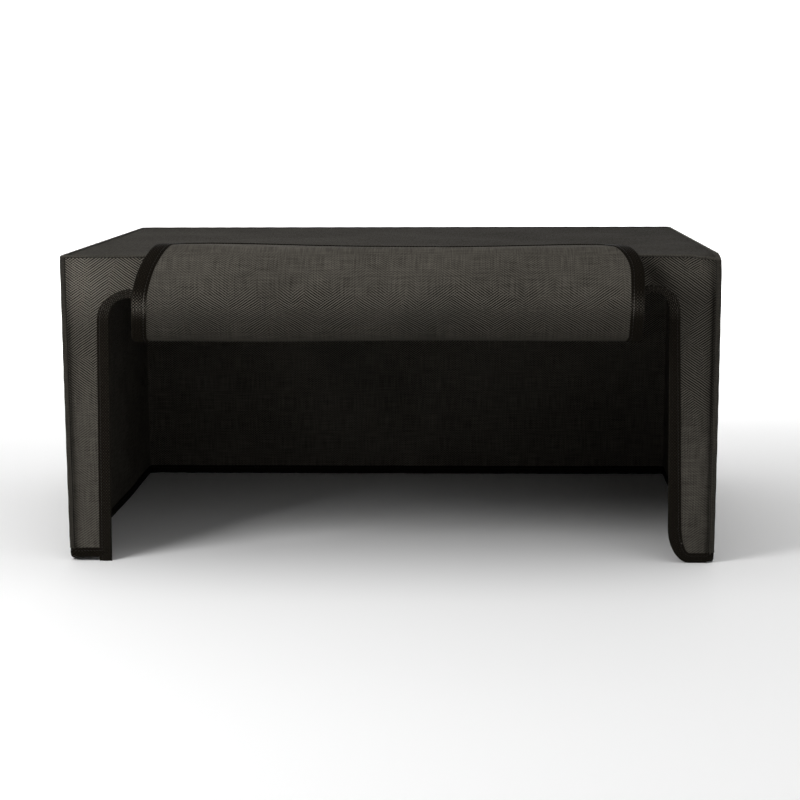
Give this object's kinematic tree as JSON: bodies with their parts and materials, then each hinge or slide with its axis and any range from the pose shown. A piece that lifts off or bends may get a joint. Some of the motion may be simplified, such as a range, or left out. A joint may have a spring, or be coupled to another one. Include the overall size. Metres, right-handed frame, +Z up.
{
  "type": "printer dust cover",
  "caption": "Sewn dark cloth dust cover for a desktop printer: a box open underneath, with a wide front opening and a taped flap folded up over the top.",
  "frame": {"origin": "centre of the bounding box's underside, with the hem standing on Z = 0", "axes": "+Z up, the front opening and flap face -Y, +X is to the right seen from the front"},
  "size_m": [0.46, 0.3933, 0.2238],
  "materials": {
    "cloth": "dark grey-brown coated woven cloth, low sheen",
    "binding_tape": "near-black ribbed binding tape",
    "seam": "turned cloth edge with dark stitching"
  },
  "bodies": {
    "cover": {"top_panel": "cloth", "back_panel": "cloth", "left_side_panel": "cloth", "right_side_panel": "cloth", "front_panel": "cloth", "front_left_corner_seam": "seam", "front_right_corner_seam": "seam", "back_left_corner_seam": "seam", "back_right_corner_seam": "seam", "top_front_seam": "seam", "top_back_seam": "seam", "top_left_seam": "seam", "top_right_seam": "seam", "left_leg_tape": "binding_tape", "left_leg_hem_tape": "binding_tape", "right_leg_tape": "binding_tape", "left_slot_tape": "binding_tape", "right_slot_tape": "binding_tape", "flap_tape_root": "binding_tape", "left_hem_tape": "binding_tape", "right_hem_tape": "binding_tape", "back_hem_tape": "binding_tape"},
    "flap_01": {"flap_cloth_01": "cloth", "flap_tape_01": "binding_tape"},
    "flap_02": {"flap_cloth_02": "cloth", "flap_tape_02": "binding_tape"},
    "flap_03": {"flap_cloth_03": "cloth", "flap_tape_03": "binding_tape"},
    "flap_04": {"flap_cloth_04": "cloth", "flap_tape_04": "binding_tape"},
    "flap_05": {"flap_cloth_05": "cloth", "flap_tape_05": "binding_tape"},
    "flap_06": {"flap_cloth_06": "cloth", "flap_tape_06": "binding_tape"},
    "flap_07": {"flap_cloth_07": "cloth", "flap_tape_07": "binding_tape"},
    "flap_08": {"flap_cloth_08": "cloth", "flap_tape_08": "binding_tape"},
    "flap_09": {"flap_cloth_09": "cloth", "flap_tape_09": "binding_tape"},
    "flap_10": {"flap_cloth_10": "cloth", "flap_tape_10": "binding_tape"}
  },
  "joints": [
    {"name": "flap_bend_01", "type": "hinge", "parent": "cover", "child": "flap_01", "pos_m": [0, -0.16222, 0.165], "axis": [1, 0, 0], "range_deg": [0, 36]},
    {"name": "flap_bend_02", "type": "hinge", "parent": "flap_01", "child": "flap_02", "pos_m": [0, -0.16633, 0.15934], "axis": [1, 0, 0], "range_deg": [0, 36]},
    {"name": "flap_bend_03", "type": "hinge", "parent": "flap_02", "child": "flap_03", "pos_m": [0, -0.17299, 0.15717], "axis": [1, 0, 0], "range_deg": [0, 36]},
    {"name": "flap_bend_04", "type": "hinge", "parent": "flap_03", "child": "flap_04", "pos_m": [0, -0.17965, 0.15934], "axis": [1, 0, 0], "range_deg": [0, 36]},
    {"name": "flap_bend_05", "type": "hinge", "parent": "flap_04", "child": "flap_05", "pos_m": [0, -0.19258, 0.17714], "axis": [1, 0, 0], "range_deg": [0, 21.5]},
    {"name": "flap_bend_06", "type": "hinge", "parent": "flap_05", "child": "flap_06", "pos_m": [0, -0.19558, 0.18875], "axis": [1, 0, 0], "range_deg": [0, 21.5]},
    {"name": "flap_bend_07", "type": "hinge", "parent": "flap_06", "child": "flap_07", "pos_m": [0, -0.19412, 0.20066], "axis": [1, 0, 0], "range_deg": [0, 21.5]},
    {"name": "flap_bend_08", "type": "hinge", "parent": "flap_07", "child": "flap_08", "pos_m": [0, -0.18839, 0.21121], "axis": [1, 0, 0], "range_deg": [0, 21.5]},
    {"name": "flap_bend_09", "type": "hinge", "parent": "flap_08", "child": "flap_09", "pos_m": [0, -0.1792, 0.21892], "axis": [1, 0, 0], "range_deg": [0, 21.5]},
    {"name": "flap_bend_10", "type": "hinge", "parent": "flap_09", "child": "flap_10", "pos_m": [0, -0.16782, 0.22273], "axis": [1, 0, 0], "range_deg": [0, 21.5]}
  ],
  "couplings": [
    {"joint": "flap_bend_01", "follows": "flap_bend_05", "ratio": 1.6744},
    {"joint": "flap_bend_02", "follows": "flap_bend_05", "ratio": 1.6744},
    {"joint": "flap_bend_03", "follows": "flap_bend_05", "ratio": 1.6744},
    {"joint": "flap_bend_04", "follows": "flap_bend_05", "ratio": 1.6744},
    {"joint": "flap_bend_06", "follows": "flap_bend_05", "ratio": 1},
    {"joint": "flap_bend_07", "follows": "flap_bend_05", "ratio": 1},
    {"joint": "flap_bend_08", "follows": "flap_bend_05", "ratio": 1},
    {"joint": "flap_bend_09", "follows": "flap_bend_05", "ratio": 1},
    {"joint": "flap_bend_10", "follows": "flap_bend_05", "ratio": 1}
  ]
}
